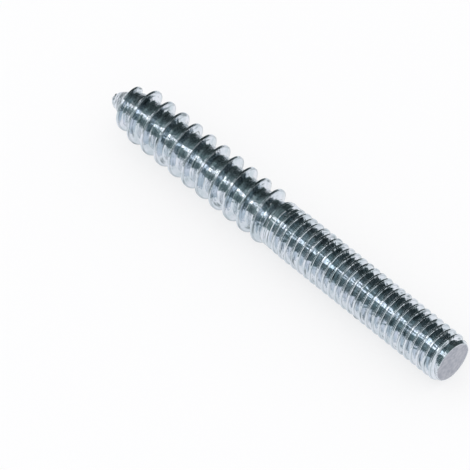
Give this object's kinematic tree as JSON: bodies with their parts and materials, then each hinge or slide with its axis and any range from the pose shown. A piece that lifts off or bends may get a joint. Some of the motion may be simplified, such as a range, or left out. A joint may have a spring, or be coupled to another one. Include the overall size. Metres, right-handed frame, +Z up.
{
  "type": "double-ended stud bolt",
  "caption": "One-piece plated steel stud bolt with a coarse wood-screw thread and gimlet point at one end and a fine machine thread with a chamfered flat end at the other.",
  "frame": {"origin": "on the bolt's axis, in the plane where the wood-screw thread ends and the machine thread begins", "axes": "+X along the bolt from the gimlet point to the flat machine end, +Z up as the bolt lies"},
  "size_m": [0.0545, 0.0066, 0.0066],
  "materials": {
    "plated_steel": "bright zinc plating over rolled steel"
  },
  "bodies": {
    "root": {"stud_bolt": "plated_steel"}
  },
  "joints": []
}
